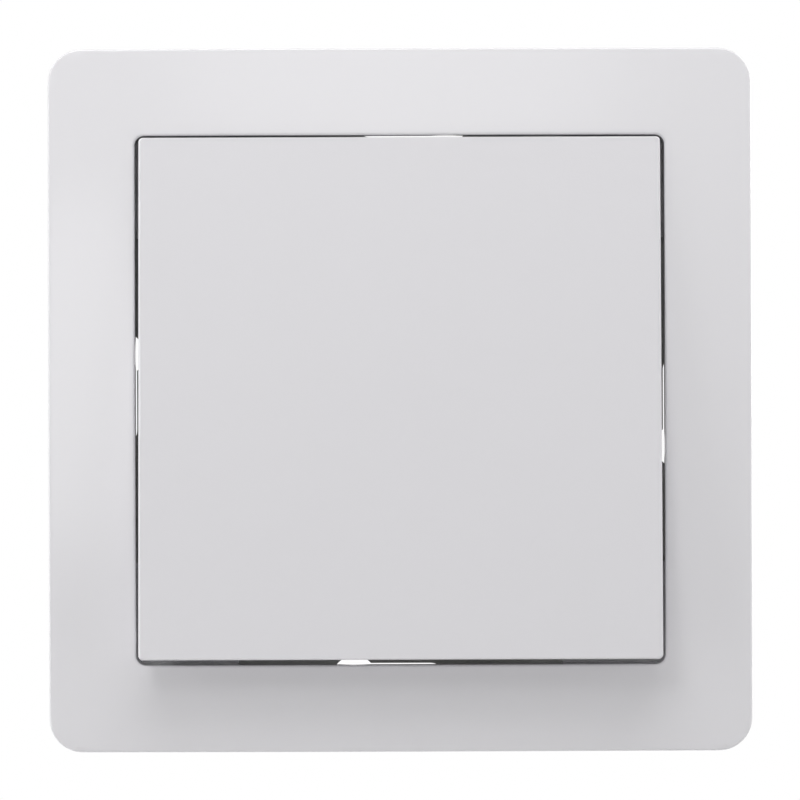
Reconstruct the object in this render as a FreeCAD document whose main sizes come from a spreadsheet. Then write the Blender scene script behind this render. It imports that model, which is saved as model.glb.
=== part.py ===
"""Flush push button light switch for a 60 mm wall box, in millimetres.

X runs to the right, Z up and Y into the wall, so the front looks along -Y.  The wall
surface is the plane Y = 0 and the origin is the centre of the support plate on it.
Heights in the sheet are measured forward from the wall (or, for the two rocking pieces,
forward from the pivot); depths are measured back into the wall box.
"""
import FreeCAD
import Part
import Sketcher
import math
import os
import re

SIZES = {
    # cover frame
    "frame_size": 81.0,
    "frame_corner": 3.5,
    "frame_crown": 9.1,
    "frame_dome": 1000.0,
    "frame_edge": 0.4,
    "opening_edge": 0.25,
    "frame_wall": 1.8,
    "frame_hollow": 6.2,
    "opening_size": 61.0,
    "opening_corner": 0.9,
    "lip_wall": 1.2,
    "ledge_reach": 1.9,
    "ledge_height": 1.4,
    "ledge_thick": 1.2,
    "rib_width": 14.0,
    "rib_thick": 1.2,
    "relief_gap": 0.2,
    "ledge_lap": 0.3,
    "grip_gap": 0.1,
    # rocker button and its pivot
    "pivot_height": 6.0,
    "rest_tilt": 4.0,
    "button_face": 59.9,
    "button_flange": 60.0,
    "button_root": 59.4,
    "button_rim": 59.1,
    "button_front": 4.7,
    "button_lip": 1.6,
    "button_back": 0.3,
    "button_skin": 1.8,
    "button_inside": 57.0,
    "button_corner": 0.5,
    "button_edge": 0.15,
    "arm_width": 5.6,
    "arm_thick": 1.4,
    "arm_tip": 2.2,
    "hook_reach": 1.5,
    "rest_x": 13.4,
    "rest_thick": 1.2,
    "rest_length": 22.0,
    # carrier
    "carrier_width": 33.0,
    "carrier_depth": 26.0,
    "carrier_front": 1.5,
    "carrier_back": 0.9,
    "yoke_corner": 2.0,
    "trunnion_dia": 3.0,
    "trunnion_end": 20.4,
    "trunnion_root": 2.0,
    "clip_x": 9.0,
    "clip_z": 7.2,
    "clip_window": 2.6,
    "clip_play": 0.2,
    "clip_gap": 0.1,
    "nose_z": 11.0,
    "nose_tip": 2.55,
    "nose_width": 7.0,
    "nose_root": 4.0,
    "nose_land": 1.8,
    "nose_radius": 0.6,
    # support plate
    "plate_thick": 1.0,
    "core_size": 54.0,
    "wing_width": 38.2,
    "wing_reach": 36.6,
    "wing_root": 2.0,
    "plate_corner": 1.2,
    "tongue_width": 10.0,
    "tongue_height": 5.0,
    "window_x": 41.0,
    "window_z": 37.0,
    "screw_circle": 65.0,
    "keyhole_head": 5.8,
    "keyhole_slot": 3.8,
    "keyhole_offset": 5.2,
    "keyhole_seat": 4.0,
    # bearing cover
    "cover_x": 46.0,
    "cover_z": 42.0,
    "cover_thick": 1.6,
    "cover_corner": 3.0,
    "neck_gap": 0.2,
    "cheek_x": 17.2,
    "cheek_thick": 3.6,
    "cheek_height": 8.2,
    "cheek_foot": 10.0,
    "cheek_top": 6.4,
    "bearing_dia": 3.06,
    "bearing_entry": 2.7,
    "entry_lead": 0.4,
    "guide_size": 5.3,
    # insert base
    "base_x": 44.0,
    "base_z": 40.0,
    "base_depth": 20.0,
    "base_corner": 6.0,
    "base_floor": 3.0,
    "base_edge": 0.8,
    "groove_width": 8.0,
    "groove_depth": 0.7,
    "panel_x": 21.0,
    "panel_z": 30.0,
    "panel_depth": 0.4,
    "chamber_x": 10.6,
    "contact_room_z": 10.5,
    "contact_room_height": 13.0,
    "spare_room_z": 7.3,
    "spare_room_height": 19.4,
    "gate_width": 5.6,
    "gate_lap": 0.5,
    "terminal_in": 11.8,
    "terminal_out": 20.4,
    "terminal_z": 28.0,
    "port_x": 14.5,
    "port_z": 7.0,
    "port_dia": 3.0,
    "port_funnel": 0.7,
    "rivet_x": 14.5,
    "rivet_z": 16.4,
    "rivet_hole": 2.5,
    "rivet_dia": 2.4,
    "rivet_bore": 1.5,
    "rivet_head": 4.0,
    "rivet_rim": 0.5,
    "recess_gap": 0.15,
    # contact set
    "plunger_size": 5.0,
    "plunger_top": 4.1,
    "plunger_lead": 0.4,
    "block_x": 6.4,
    "block_z": 7.0,
    "block_top": 5.0,
    "block_bottom": 11.6,
    "peg_dia": 3.0,
    "peg_length": 1.6,
    "bridge_window_top": 6.0,
    "bridge_window_bottom": 10.2,
    "bridge_length": 18.0,
    "bridge_width": 4.0,
    "bridge_end": 1.2,
    "bridge_play": 0.15,
    "strip": 0.8,
    "strip_width": 5.0,
    "bridge_depth": 10.15,
    "tip_x": 6.6,
    "tip_dia": 2.8,
    "tip_thick": 0.7,
    "contact_gap": 1.2,
    "rail_x": 12.0,
    "rail_back": 16.5,
    "arm_in": 4.6,
    "coil_wire": 0.5,
    "coil_dia": 4.4,
    "coil_pitch": 1.6,
    "leaf_radius": 4.1,
    "leaf_thick": 0.25,
    "leaf_width": 3.0,
    # wire clamps
    "clamp_strip": 0.4,
    "clamp_lean": 0.46,
    "clamp_radius": 0.9,
    "clamp_gap": 0.2,
    "clamp_width": 5.0,
    "clamp_top": 1.0,
    "clamp_bend": 18.2,
    "clamp_edge": 13.3,
    "clamp_edge_depth": 9.6,
    "clamp_back": 14.5,
    "lever_x": 16.9,
    "lever_thick": 3.6,
    "lever_width": 5.0,
    "lever_shoulder": 7.0,
    "lever_bar": 16.0,
    "lever_bar_thick": 2.0,
    "lever_bar_top": 6.3,
    "lever_bar_bottom": 8.7,
    "lever_proud": 0.9,
    "thumb_radius": 0.5,
    "slide_gap": 0.1,
    # shared: how far joined features run into each other, and play where loose pieces meet
    "overlap": 0.2,
    "seat_gap": 0.05,
}

os.makedirs("parts", exist_ok=True)
doc = FreeCAD.newDocument("push_button_switch")
sheet = doc.addObject("Spreadsheet::Sheet", "Sizes")
for row, (alias, size) in enumerate(SIZES.items(), start=1):
    sheet.set(f"A{row}", alias)
    sheet.set(f"B{row}", str(size))
    sheet.setAlias(f"B{row}", alias)
doc.recompute()


# Sketch and feature helpers

def cells(text):
    """The expression with every size name turned into its sheet cell."""
    return re.sub(r"[a-z_]+", lambda m: f"Sizes.{m[0]}" if m[0] in SIZES else m[0], text)


def bind(thing, **properties):
    """Bind properties of a document object to expressions on the sheet."""
    for name, text in properties.items():
        thing.setExpression(name.replace("__", "."), cells(text))


def new_body(name):
    return doc.addObject("PartDesign::Body", name)


def origin_plane(body, role):
    return next(o for o in body.Origin.OriginFeatures if o.Role == role)


def sketch_on(body, name, plane="XZ_Plane", lift="0"):
    """An empty sketch on an origin plane of the body, lifted along the plane's normal."""
    sketch = body.newObject("Sketcher::SketchObject", name)
    sketch.AttachmentSupport = [(origin_plane(body, plane), "")]
    sketch.MapMode = "FlatFace"
    bind(sketch, AttachmentOffset__Base__z=lift)
    doc.recompute()
    return sketch


def size_of(sketch, text):
    return float(sketch.evalExpression(cells(text)))


def drive(sketch, constraint, text):
    """Add a dimension and bind it to the sheet."""
    index = sketch.addConstraint(constraint)
    sketch.setExpression(f"Constraints[{index}]", cells(text))


def pin_point(sketch, geometry, end, x, y):
    """Dimension one point of the sketch from its origin."""
    for kind, text, axis in (("DistanceX", x, -2), ("DistanceY", y, -1)):
        if text == "0":
            sketch.addConstraint(Sketcher.Constraint("PointOnObject", geometry, end, axis))
        else:
            value = size_of(sketch, text)
            drive(sketch, Sketcher.Constraint(kind, -1, 1, geometry, end, value), text)


def polygon(sketch, corners):
    """A closed outline through corners given as pairs of expressions."""
    points = [FreeCAD.Vector(size_of(sketch, x), size_of(sketch, y), 0) for x, y in corners]
    first = sketch.GeometryCount
    for start, end in zip(points, points[1:] + points[:1]):
        sketch.addGeometry(Part.LineSegment(start, end))
    for k, (x, y) in enumerate(corners):
        before = first + (k - 1) % len(corners)
        sketch.addConstraint(Sketcher.Constraint("Coincident", before, 2, first + k, 1))
        pin_point(sketch, first + k, 1, x, y)
    return sketch


def rectangle(sketch, x, y, width, height):
    """A rectangle about the centre (x, y)."""
    left, right = f"({x}) - ({width}) / 2", f"({x}) + ({width}) / 2"
    low, high = f"({y}) - ({height}) / 2", f"({y}) + ({height}) / 2"
    return polygon(sketch, [(left, low), (right, low), (right, high), (left, high)])


def circle(sketch, x, y, diameter):
    radius = size_of(sketch, diameter) / 2
    centre = FreeCAD.Vector(size_of(sketch, x), size_of(sketch, y), 0)
    index = sketch.addGeometry(Part.Circle(centre, FreeCAD.Vector(0, 0, 1), radius))
    pin_point(sketch, index, 3, x, y)
    drive(sketch, Sketcher.Constraint("Diameter", index, 2 * radius), diameter)
    return sketch


def extrude(body, kind, sketch, length, backward=False):
    """Pad or pocket a sketch; both run along the sketch normal unless backward."""
    feature = body.newObject(f"PartDesign::{kind}", f"{sketch.Name}_{kind.lower()}")
    feature.Profile = sketch
    bind(feature, Length=length)
    feature.Reversed = backward if kind == "Pad" else not backward
    doc.recompute()
    return feature


def pad(body, sketch, length, backward=False):
    return extrude(body, "Pad", sketch, length, backward)


def cut(body, sketch, length, backward=False):
    return extrude(body, "Pocket", sketch, length, backward)


def four_turns(body, name, features):
    """Repeat features at each quarter turn about the Y axis."""
    pattern = body.newObject("PartDesign::PolarPattern", name)
    pattern.Originals = features
    pattern.Axis = (origin_plane(body, "Y_Axis"), [""])
    pattern.Angle = 360
    pattern.Occurrences = 4
    body.Tip = pattern
    doc.recompute()
    return pattern


def mirror_x(body, name, features):
    """Repeat features on the other side of the body's YZ plane."""
    twin = body.newObject("PartDesign::Mirrored", name)
    twin.Originals = features
    twin.MirrorPlane = (origin_plane(body, "YZ_Plane"), [""])
    body.Tip = twin
    doc.recompute()
    return twin


def edges_of(body, wanted):
    """Names of the body's edges for which wanted(edge) is true."""
    edges = enumerate(body.Tip.Shape.Edges, start=1)
    return [f"Edge{k}" for k, edge in edges if wanted(edge)]


def dress(body, kind, name, size, wanted):
    """Fillet or chamfer the chosen edges."""
    names = edges_of(body, wanted)
    if not names:
        raise ValueError(f"{name} has no edges")
    base = body.Tip
    feature = body.newObject(f"PartDesign::{kind}", name)
    feature.Base = (base, names)
    bind(feature, **{"Radius" if kind == "Fillet" else "Size": size})
    doc.recompute()
    return feature


def runs_along(edge, axis):
    """Whether a straight edge is parallel to an axis given as 0, 1 or 2."""
    if edge.Curve.TypeId != "Part::GeomLine":
        return False
    return abs(abs(edge.Curve.Direction[axis]) - 1) < 1e-6


def mid(edge):
    return edge.CenterOfMass


def mirrored_copy(source, name, normal):
    """A mirror image of a whole piece in a plane through the origin."""
    twin = doc.addObject("Part::Mirroring", name)
    twin.Source = source
    twin.Normal = FreeCAD.Vector(*normal)
    return twin


def group(name, members):
    """Identical small pieces kept as one node."""
    compound = doc.addObject("Part::Compound", name)
    compound.Links = members
    return compound


def on_pivot(body):
    """Place a rocking piece, modelled level about its pivot, at its sprung rest angle."""
    body.Placement.Rotation = FreeCAD.Rotation(FreeCAD.Vector(1, 0, 0), -1)
    bind(body, Placement__Base__y="-pivot_height", Placement__Rotation__Angle="-rest_tilt")


# Cover frame: a domed square moulding, hollow behind, with guide walls at its corners

def make_cover_frame():
    body = new_body("cover_frame")
    outline = rectangle(sketch_on(body, "frame_outline"), "0", "0", "frame_size", "frame_size")
    pad(body, outline, "frame_crown")
    dress(body, "Fillet", "frame_corners", "frame_corner", lambda e: runs_along(e, 1))

    dome = sketch_on(body, "frame_dome_profile", "XY_Plane")
    crown, radius, reach = (size_of(dome, t) for t in ("frame_crown", "frame_dome", "frame_size"))
    centre = FreeCAD.Vector(0, radius - crown, 0)
    ring = Part.Circle(centre, FreeCAD.Vector(0, 0, 1), radius)
    start = -math.pi / 2
    arc = dome.addGeometry(Part.ArcOfCircle(ring, start, start + math.asin(reach / radius)))
    rim = dome.Geometry[arc].EndPoint
    above = FreeCAD.Vector(rim.x, -2 * crown, 0)
    corners = [rim, above, FreeCAD.Vector(0, -2 * crown, 0), FreeCAD.Vector(0, -crown, 0)]
    for a, b in zip(corners, corners[1:]):
        dome.addGeometry(Part.LineSegment(a, b))
    for a, b in ((0, 1), (1, 2), (2, 3)):
        dome.addConstraint(Sketcher.Constraint("Coincident", a, 2, b, 1))
    dome.addConstraint(Sketcher.Constraint("Coincident", 3, 2, 0, 1))
    dome.addConstraint(Sketcher.Constraint("PointOnObject", arc, 3, -2))
    dome.addConstraint(Sketcher.Constraint("Vertical", 1))
    dome.addConstraint(Sketcher.Constraint("Horizontal", 2))
    pin_point(dome, arc, 1, "0", "-frame_crown")
    pin_point(dome, 2, 1, "frame_size", "-2 * frame_crown")
    drive(dome, Sketcher.Constraint("Radius", arc, radius), "frame_dome")
    groove = body.newObject("PartDesign::Groove", "frame_dome_cut")
    groove.Profile = dome
    groove.ReferenceAxis = (dome, ["V_Axis"])
    groove.Angle = 360
    doc.recompute()

    opening = sketch_on(body, "frame_opening")
    rectangle(opening, "0", "0", "opening_size", "opening_size")
    cut(body, opening, "2 * frame_crown")
    half = SIZES["frame_size"] / 2 - SIZES["frame_corner"] - 1
    dress(body, "Fillet", "opening_corners", "opening_corner",
          lambda e: runs_along(e, 1) and abs(mid(e).x) < half)

    hollow = sketch_on(body, "frame_hollow_ring")
    inside = "opening_size + 2 * lip_wall"
    outside = "frame_size - 2 * frame_wall"
    rectangle(hollow, "0", "0", outside, outside)
    rectangle(hollow, "0", "0", inside, inside)
    cut(body, hollow, "frame_hollow")

    ledge = sketch_on(body, "corner_ledge", lift="ledge_height")
    rectangle(ledge, "0", "0", "opening_size + lip_wall", "opening_size + lip_wall")
    shelf = "opening_size - 2 * ledge_reach"
    rectangle(ledge, "0", "0", shelf, shelf)
    pad(body, ledge, "ledge_thick")

    centre = "-(opening_size + lip_wall - ledge_reach) / 2"
    across = "lip_wall + ledge_reach + 2 * relief_gap"
    relief = rectangle(sketch_on(body, "wing_relief"), "0", centre, "wing_width - 2 * ledge_lap", across)
    foot = rectangle(sketch_on(body, "wing_passage"), "0", centre, "wing_width + 2 * relief_gap", across)
    cuts = [cut(body, relief, "frame_hollow"), cut(body, foot, "plate_thick + relief_gap")]
    four_turns(body, "wing_reliefs", cuts)

    rib = sketch_on(body, "tongue_rib", lift="frame_hollow - tongue_height")
    rectangle(rib, "0", "-(wing_reach + plate_thick + grip_gap + rib_thick / 2)",
              "rib_width", "rib_thick")
    four_turns(body, "tongue_ribs", [pad(body, rib, "tongue_height + overlap")])

    front = max(body.Tip.Shape.Faces, key=lambda f: -f.CenterOfMass.y if f.Area > 1000 else 0)
    borders = [(mid(edge), max(abs(mid(edge).x), abs(mid(edge).z)) < half) for edge in front.Edges]
    for name, size, inner in (("frame_edges", "frame_edge", False), ("opening_edges", "opening_edge", True)):
        places = [place for place, inside in borders if inside == inner]
        dress(body, "Fillet", name, size, lambda e: any((mid(e) - p).Length < 1e-4 for p in places))
    return body


# Rocker button: a shallow tray whose face overhangs its sides, so the gap round it looks dark

def tapered_block(body, name, rear, front):
    """A square block with drafted sides between two sizes, each given with its height."""
    outlines = []
    for end, (size, height) in (("rear", rear), ("front", front)):
        sketch = sketch_on(body, f"{name}_{end}", lift=height)
        outlines.append(rectangle(sketch, "0", "0", size, size))
    loft = body.newObject("PartDesign::AdditiveLoft", name)
    loft.Profile = outlines[0]
    loft.Sections = outlines[1:]
    loft.Ruled = True
    doc.recompute()


def make_rocker_button():
    body = new_body("rocker_button")
    parting = "button_front - button_lip"
    tapered_block(body, "button_skirt", ("button_rim", "-button_back"), ("button_root", parting))
    tapered_block(body, "button_lip_block", ("button_flange", parting), ("button_face", "button_front"))
    dress(body, "Fillet", "button_corners", "button_corner",
          lambda e: min(abs(mid(e).x), abs(mid(e).z)) > SIZES["button_inside"] / 2)
    dress(body, "Fillet", "button_edges", "button_edge",
          lambda e: abs(mid(e).y + SIZES["button_front"]) < 1e-6)

    hollow = rectangle(sketch_on(body, "button_hollow", lift="-button_back"),
                       "0", "0", "button_inside", "button_inside")
    cut(body, hollow, "button_front + button_back - button_skin")

    arm = sketch_on(body, "clip_arm", "YZ_Plane", lift="clip_x - arm_width / 2")
    root = "-(button_front - button_skin + overlap)"
    for way in ("", "-"):
        inner, outer = f"{way}clip_z", f"{way}(clip_z + arm_thick)"
        hook = f"{way}(clip_z + arm_thick + hook_reach)"
        polygon(arm, [
            (root, inner), (root, outer), ("carrier_back + clip_gap", outer),
            ("carrier_back + clip_gap", hook), ("arm_tip", outer), ("arm_tip", inner),
        ])
    mirror_x(body, "clip_arms", [pad(body, arm, "arm_width")])

    rest = rectangle(sketch_on(body, "rest_rib", lift="carrier_front + seat_gap"),
                     "rest_x", "0", "rest_thick", "rest_length")
    length = "button_front - button_skin - carrier_front"
    mirror_x(body, "rest_ribs", [pad(body, rest, length)])
    on_pivot(body)
    return body


# Rocker carrier: the pivoting yoke with two trunnions and the nose that works the contacts

def make_rocker_carrier():
    body = new_body("rocker_carrier")
    yoke = rectangle(sketch_on(body, "yoke", lift="-carrier_back"),
                     "0", "0", "carrier_width", "carrier_depth")
    pad(body, yoke, "carrier_front + carrier_back")
    dress(body, "Fillet", "yoke_corners", "yoke_corner", lambda e: runs_along(e, 1))

    windows = sketch_on(body, "clip_windows", lift="-carrier_back")
    for x in ("-clip_x", "clip_x"):
        for way in ("", "-"):
            rectangle(windows, x, f"{way}(clip_z - clip_play + clip_window / 2)",
                      "arm_width + 4 * clip_play", "clip_window")
    cut(body, windows, "carrier_front + carrier_back")

    nose = sketch_on(body, "nose", "YZ_Plane", lift="-nose_width / 2")
    polygon(nose, [
        ("carrier_back - overlap", "-nose_z - nose_root / 2"),
        ("carrier_back - overlap", "-nose_z + nose_root / 2"),
        ("nose_tip", "-nose_z + nose_land / 2"), ("nose_tip", "-nose_z - nose_land / 2"),
    ])
    pad(body, nose, "nose_width")
    dress(body, "Fillet", "nose_round", "nose_radius",
          lambda e: runs_along(e, 0) and abs(mid(e).y - SIZES["nose_tip"]) < 1e-6)

    trunnion = circle(sketch_on(body, "trunnion", "YZ_Plane", lift="carrier_width / 2 - trunnion_root"),
                      "0", "0", "trunnion_dia")
    mirror_x(body, "trunnions", [pad(body, trunnion, "trunnion_end - carrier_width / 2 + trunnion_root")])
    on_pivot(body)
    return body


# Support plate: stamped zinc coated steel, four wings with bayonet keyholes and tongues

def make_support_plate():
    body = new_body("support_plate")
    core = rectangle(sketch_on(body, "plate_core"), "0", "0", "core_size", "core_size")
    pad(body, core, "plate_thick")
    wing = rectangle(sketch_on(body, "wing"), "0", "-(wing_reach + core_size / 2 - wing_root) / 2",
                     "wing_width", "wing_reach - core_size / 2 + wing_root")
    tongue = rectangle(sketch_on(body, "tongue"), "0", "-(wing_reach + (plate_thick - overlap) / 2)",
                       "tongue_width", "plate_thick + overlap")
    four_turns(body, "wings", [pad(body, wing, "plate_thick"), pad(body, tongue, "tongue_height")])
    dress(body, "Fillet", "plate_corners", "plate_corner",
          lambda e: runs_along(e, 1) and min(abs(mid(e).x), abs(mid(e).z)) > SIZES["tongue_width"])
    reach = SIZES["wing_reach"] + SIZES["plate_thick"]
    dress(body, "Fillet", "tongue_bends", "plate_thick",
          lambda e: abs(mid(e).y) < 1e-6 and max(abs(mid(e).x), abs(mid(e).z)) > reach - 1e-6)

    window = rectangle(sketch_on(body, "plate_window"), "0", "0", "window_x", "window_z")
    cut(body, window, "plate_thick")
    head = circle(sketch_on(body, "keyhole_head_hole"), "-keyhole_offset", "-screw_circle / 2", "keyhole_head")
    slot = rectangle(sketch_on(body, "keyhole_slot_cut"), "(keyhole_seat - keyhole_offset) / 2",
                     "-screw_circle / 2", "keyhole_seat + keyhole_offset", "keyhole_slot")
    seat = circle(sketch_on(body, "keyhole_seat_hole"), "keyhole_seat", "-screw_circle / 2", "keyhole_slot")
    four_turns(body, "keyholes", [cut(body, s, "plate_thick") for s in (head, slot, seat)])
    return body


# Bearing cover: closes the insert in front of the plate and carries the rocker's bearings

def make_bearing_cover():
    body = new_body("bearing_cover")
    flange = rectangle(sketch_on(body, "cover_flange", lift="plate_thick"), "0", "0", "cover_x", "cover_z")
    pad(body, flange, "cover_thick")
    dress(body, "Fillet", "cover_corners", "cover_corner", lambda e: runs_along(e, 1))
    neck = rectangle(sketch_on(body, "cover_neck"), "0", "0",
                     "window_x - 2 * neck_gap", "window_z - 2 * neck_gap")
    pad(body, neck, "plate_thick + overlap")

    foot = "-(plate_thick + cover_thick - overlap)"
    cheek = sketch_on(body, "bearing_cheek", "YZ_Plane", lift="cheek_x")
    polygon(cheek, [
        (foot, "-cheek_foot / 2"), ("-cheek_height", "-cheek_top / 2"),
        ("-cheek_height", "cheek_top / 2"), (foot, "cheek_foot / 2"),
    ])
    bore = circle(sketch_on(body, "bearing_bore", "YZ_Plane", lift="cheek_x"),
                  "-pivot_height", "0", "bearing_dia")
    entry = rectangle(sketch_on(body, "bearing_slot", "YZ_Plane", lift="cheek_x"),
                      "-(pivot_height + cheek_height + entry_lead) / 2", "0",
                      "cheek_height + entry_lead - pivot_height", "bearing_entry")
    solid = pad(body, cheek, "cheek_thick")
    holes = [cut(body, sketch, "cheek_thick") for sketch in (bore, entry)]
    mirror_x(body, "bearing_cheeks", [solid, *holes])

    guide = rectangle(sketch_on(body, "plunger_guide"), "0", "-nose_z", "guide_size", "guide_size")
    for way in ("", "-"):
        circle(guide, f"{way}rivet_x", f"{way}rivet_z", "rivet_hole")
    cut(body, guide, "plate_thick + cover_thick")
    return body


# Insert base: the moulded housing behind the plate, open to the front, with wire ports

def make_insert_base():
    body = new_body("insert_base")
    block = rectangle(sketch_on(body, "base_outline"), "0", "0", "base_x", "base_z")
    pad(body, block, "base_depth", backward=True)
    dress(body, "Chamfer", "base_corners", "base_corner", lambda e: runs_along(e, 1))
    dress(body, "Fillet", "base_rear_edge", "base_edge",
          lambda e: abs(mid(e).y - SIZES["base_depth"]) < 1e-6)

    pocket_depth = "base_depth - base_floor"
    rooms = sketch_on(body, "contact_rooms")
    rectangle(rooms, "0", "-contact_room_z", "2 * chamber_x", "contact_room_height")
    rectangle(rooms, "0", "spare_room_z", "2 * chamber_x", "spare_room_height")
    cut(body, rooms, pocket_depth, backward=True)

    room = rectangle(sketch_on(body, "terminal_room"), "(terminal_in + terminal_out) / 2", "0",
                     "terminal_out - terminal_in", "terminal_z")
    gate = rectangle(sketch_on(body, "arm_gate"), "(chamber_x + terminal_in) / 2", "-nose_z",
                     "terminal_in - chamber_x + 2 * gate_lap", "gate_width")
    slot = rectangle(sketch_on(body, "lever_slot"), "lever_x", "0",
                     "lever_thick + 2 * slide_gap", "lever_width + 2 * slide_gap")
    groove = rectangle(sketch_on(body, "side_groove"), "base_x / 2", "0", "2 * groove_depth", "groove_width")
    ports = sketch_on(body, "wire_ports")
    for way in ("", "-"):
        circle(ports, "port_x", f"{way}port_z", "port_dia")
    cuts = [
        cut(body, room, pocket_depth, backward=True),
        cut(body, gate, "bridge_depth + 2 * tip_thick + contact_gap + strip + seat_gap", backward=True),
        *(cut(body, sketch, "base_depth", backward=True) for sketch in (slot, groove, ports)),
    ]
    mirror_x(body, "terminal_rooms", cuts)
    dress(body, "Chamfer", "port_funnels", "port_funnel",
          lambda e: abs(mid(e).y - SIZES["base_depth"]) < 1e-6 and len(e.Vertexes) == 1)

    rivets = sketch_on(body, "rivet_holes")
    heads = sketch_on(body, "rivet_recesses", lift="-base_depth")
    for way in ("", "-"):
        circle(rivets, f"{way}rivet_x", f"{way}rivet_z", "rivet_hole")
        circle(heads, f"{way}rivet_x", f"{way}rivet_z", "rivet_head + 2 * recess_gap")
    cut(body, rivets, "base_depth", backward=True)
    cut(body, heads, "rivet_rim")
    panel = rectangle(sketch_on(body, "rear_panel", lift="-base_depth"), "0", "0", "panel_x", "panel_z")
    cut(body, panel, "panel_depth")
    return body


# Tubular rivets: clamp the cover, plate and base together at two opposite corners

def make_rivets():
    body = new_body("rivet")
    front = "-(plate_thick + cover_thick)"
    back = "base_depth - rivet_rim"
    bore, shank, rim = "rivet_bore / 2", "rivet_dia / 2", "rivet_head / 2"
    profile = polygon(sketch_on(body, "rivet_profile", "XY_Plane"), [
        (bore, f"{front} - rivet_rim"), (rim, f"{front} - rivet_rim"), (rim, front), (shank, front),
        (shank, back), (rim, back), (rim, f"{back} + rivet_rim"), (bore, f"{back} + rivet_rim"),
    ])
    turn = body.newObject("PartDesign::Revolution", "rivet_turn")
    turn.Profile = profile
    turn.ReferenceAxis = (profile, ["V_Axis"])
    turn.Angle = 360
    bind(body, Placement__Base__x="rivet_x", Placement__Base__z="rivet_z")
    doc.recompute()
    across = mirrored_copy(body, "rivet_across", (1, 0, 0))
    opposite = mirrored_copy(across, "rivet_opposite", (0, 0, 1))
    return group("tubular_rivets", [body, opposite])


# Contact plunger: slides in the cover's guide and carries the bridge in its window

def make_contact_plunger():
    body = new_body("contact_plunger")
    stem = rectangle(sketch_on(body, "stem", lift="-block_top - overlap"),
                     "0", "0", "plunger_size", "plunger_size")
    pad(body, stem, "plunger_top + block_top + overlap")
    dress(body, "Chamfer", "stem_lead", "plunger_lead",
          lambda e: abs(mid(e).y + SIZES["plunger_top"]) < 1e-6)
    block = rectangle(sketch_on(body, "block", lift="-block_bottom"), "0", "0", "block_x", "block_z")
    pad(body, block, "block_bottom - block_top")
    peg = circle(sketch_on(body, "spring_peg", lift="-block_bottom - peg_length"), "0", "0", "peg_dia")
    pad(body, peg, "peg_length + overlap")
    window = rectangle(sketch_on(body, "bridge_window", "YZ_Plane", lift="-block_x"),
                       "(bridge_window_top + bridge_window_bottom) / 2", "0",
                       "bridge_window_bottom - bridge_window_top", "bridge_width + 2 * bridge_play")
    cut(body, window, "2 * block_x")
    bind(body, Placement__Base__z="-nose_z")
    return body


# Contact bridge: brass bar that joins the two fixed contacts when the button is pressed

def make_contact_bridge():
    body = new_body("contact_bridge")
    bar = rectangle(sketch_on(body, "bar", lift="-bridge_depth"), "0", "0", "bridge_length", "bridge_width")
    pad(body, bar, "strip")
    dress(body, "Fillet", "bar_ends", "bridge_end", lambda e: runs_along(e, 1))
    bind(body, Placement__Base__z="-nose_z")
    return body


# Contact tips: silver discs, a pair on the bridge and a pair on the fixed contacts

def make_tips(name, depth):
    pair = []
    for side, way in (("right", ""), ("left", "-")):
        disc = doc.addObject("Part::Cylinder", f"{name}_{side}")
        disc.Placement.Rotation = FreeCAD.Rotation(FreeCAD.Vector(1, 0, 0), 90)
        bind(disc, Radius="tip_dia / 2", Height="tip_thick", Placement__Base__x=f"{way}tip_x",
             Placement__Base__y=depth, Placement__Base__z="-nose_z")
        pair.append(disc)
    return group(name, pair)


# Contact spring: a bowed leaf in the plunger's window that presses on the bridge

def make_contact_spring():
    body = new_body("contact_spring")
    centre = "bridge_window_top + seat_gap + leaf_radius"
    foot = "bridge_depth - strip - seat_gap"
    bow = sketch_on(body, "leaf_bow", "XY_Plane", lift="-leaf_width / 2")
    circle(bow, "0", centre, "2 * leaf_radius")
    circle(bow, "0", centre, "2 * (leaf_radius - leaf_thick)")
    pad(body, bow, "leaf_width")
    trim = rectangle(sketch_on(body, "leaf_trim", "XY_Plane", lift="-leaf_width"),
                     "0", f"{foot} + leaf_radius", "4 * leaf_radius", "2 * leaf_radius")
    cut(body, trim, "2 * leaf_width")
    bind(body, Placement__Base__z="-nose_z")
    return body


# Return spring: round wire swept along a helix about the plunger's axis

def make_return_spring():
    body = new_body("return_spring")
    front, back = "(block_bottom + seat_gap)", "(base_depth - base_floor - seat_gap)"
    profile = circle(sketch_on(body, "coil_section", "XY_Plane"),
                     "coil_dia / 2", f"{back} - coil_wire / 2", "coil_wire")
    helix = body.newObject("PartDesign::AdditiveHelix", "coil")
    helix.Profile = profile
    helix.ReferenceAxis = (profile, ["V_Axis"])
    helix.Mode = "pitch-height-angle"
    bind(helix, Pitch="coil_pitch", Height=f"{back} - {front} - coil_wire")
    helix.Reversed = True
    bind(body, Placement__Base__z="-nose_z")
    doc.recompute()
    return body


# Load contact: bent brass strip, wire rail along the terminal room and arm under the tip

def make_load_contact():
    body = new_body("load_contact")
    face = "(bridge_depth + 2 * tip_thick + contact_gap)"
    low, step = "-nose_z - strip_width / 2", "-nose_z + strip_width / 2"
    rail = sketch_on(body, "rail", "YZ_Plane", lift="rail_x")
    polygon(rail, [
        ("clamp_top", low), ("clamp_top", "nose_z"), ("rail_back", "nose_z"),
        ("rail_back", step), (f"{face} + strip", step), (f"{face} + strip", low),
    ])
    pad(body, rail, "strip")
    arm = rectangle(sketch_on(body, "contact_arm", lift=f"-({face} + strip)"),
                    "(arm_in + rail_x + overlap) / 2", "-nose_z", "rail_x + overlap - arm_in", "strip_width")
    pad(body, arm, "strip")
    bend = FreeCAD.Vector(SIZES["rail_x"], size_of(rail, face), -SIZES["nose_z"])
    dress(body, "Fillet", "arm_bend", "strip", lambda e: (mid(e) - bend).Length < 1e-6)
    return body


# Clamp spring: bent stainless strip whose edge bites the wire against the rail

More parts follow.
